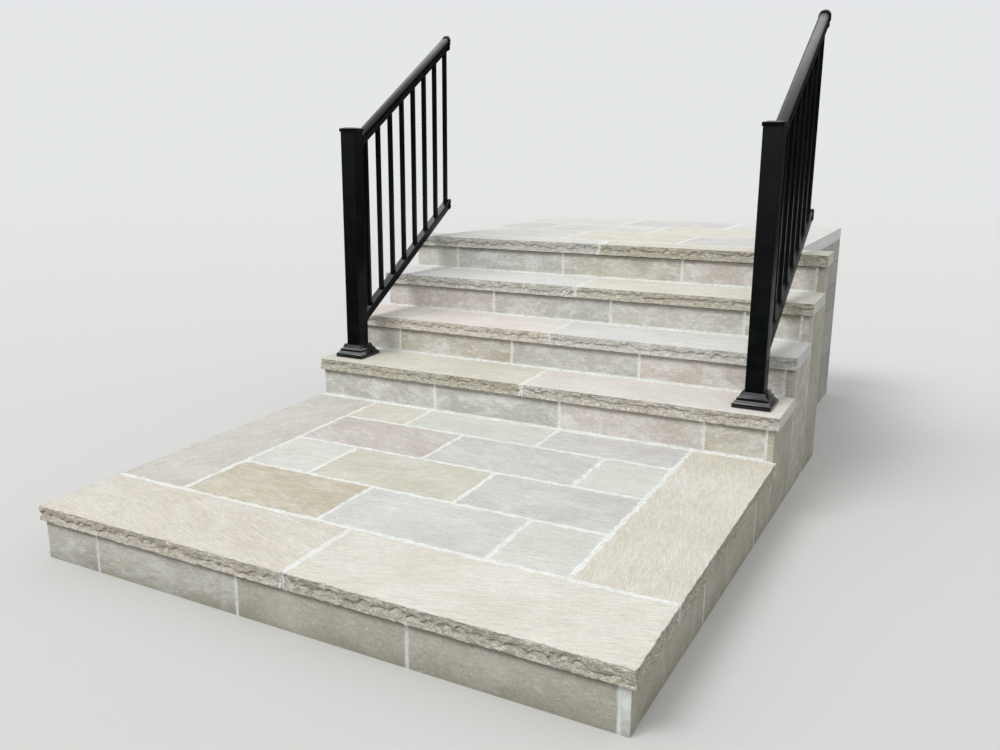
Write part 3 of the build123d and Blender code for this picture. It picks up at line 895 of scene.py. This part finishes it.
# A screw holds each rail in its end cup, driven from the side of the steps. Zinc plate is a bright cool grey
screw_radius = 0.0035
screw_flatness = 0.45       # how far the head stands out, as a share of its radius
handrail_above = 1.5        # cups higher than this hold a handrail
screw_steel, _, screw_surface = new_material("zinc plated screw steel", roughness=0.35, metallic=1.0)
feed(screw_surface["Base Color"], paint("d5d6d4"))
for side in ("left", "right"):
    brackets = solids(side + "_brackets")       # copies, to find the cups by
    cups = sorted(brackets, key=lambda o: box_of(o)[1].y)[-2:]
    for low, high in [box_of(cup) for cup in cups]:
        face = high.x if side == "left" else low.x
        bpy.ops.mesh.primitive_uv_sphere_add(segments=20, ring_count=10, radius=screw_radius,
                                             location=(face, (low.y + high.y) / 2, (low.z + high.z) / 2))
        screw = bpy.context.object
        screw.name = f"{side}_cup_screw_{'upper' if high.z > handrail_above else 'lower'}"
        screw.scale = (screw_flatness, 1, 1)
        place_whole(screw)
        soften(screw, smooth_round)
        finish_in(screw, screw_steel)
        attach(screw, "root")
    for bracket in brackets:
        bpy.data.objects.remove(bracket)

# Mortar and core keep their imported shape
for node in ("platform_mortar", "stair_mortar", "landing_mortar"):
    finish_in(frame["nodes"][node], grout)
finish_in(frame["nodes"]["concrete_core"], core_face)

# Floor: pale to the eye, but duller to the light, so that it brightens the model little from below
floor_seen = "d4d4d1"
floor_lit = "868784"
floor_size = 60
bpy.ops.mesh.primitive_plane_add(size=floor_size, location=(0, 0, 0))
floor = bpy.context.object
floor.name = "floor"
floor_finish, floor_tree, floor_surface = new_material("pale floor", roughness=0.9)
to_camera = add(floor_tree, "LightPath").outputs["Is Camera Ray"]
feed(floor_surface["Base Color"],
     add(floor_tree, "Mix", to_camera, paint(floor_lit), paint(floor_seen), data_type="RGBA"))
finish_in(floor, floor_finish)

# Sky: soft and even. A smooth face mirrors it bright overhead and dark towards the horizon, and the eye sees
# a pale backdrop
sky_strength = 0.75
mirrored_low = (0.25, 0.06)         # height of the sky, from 0 to 1, and its strength in a mirroring face
mirrored_high = (0.80, 4.0)
backdrop_strength = 0.865
world = bpy.data.worlds.new("studio")
scene.world = world
world.use_nodes = True
sky = world.node_tree
background = sky.nodes["Background"].inputs
rays = add(sky, "LightPath").outputs
upward = add(sky, "SeparateXYZ", add(sky, "TexCoord").outputs["Generated"]).outputs["Z"]
mirrored = add(sky, "MapRange", upward, mirrored_low[0], mirrored_high[0], mirrored_low[1], mirrored_high[1])
soft = add(sky, "Mix", rays["Is Glossy Ray"], sky_strength, mirrored, data_type="FLOAT")
backdrop = add(sky, "Mix", rays["Is Camera Ray"], soft, backdrop_strength, data_type="FLOAT")
feed(background["Color"], paint("f4f6f8"))
feed(background["Strength"], backdrop)

# Sun, veiled by thin cloud
sun_strength = 1.35
sun_spread = radians(28)
sun_tilt = (radians(36), 0, radians(-32))
bpy.ops.object.light_add(type="SUN", rotation=sun_tilt)
sun = bpy.context.object
sun.data.energy = sun_strength
sun.data.angle = sun_spread

# The camera, as fitted to the joints, nosings and posts in the photograph
camera_place = Vector((1.7655, -3.8957, 1.4021))
camera_yaw = 0.49108
camera_pitch = -0.22959
camera_roll = 0.0059
focal_pixels = 905.27
photo_width = 1000
sensor = 36
bpy.ops.object.camera_add()
camera = bpy.context.object
camera.data.sensor_width = sensor
camera.data.lens = focal_pixels * sensor / photo_width
camera.matrix_world = (Matrix.Translation(camera_place)
                       @ Matrix.Rotation(camera_yaw, 4, "Z")
                       @ Matrix.Rotation(pi / 2 + camera_pitch, 4, "X")
                       @ Matrix.Rotation(camera_roll, 4, "Z"))
scene.camera = camera
scene.view_settings.view_transform = "Standard"
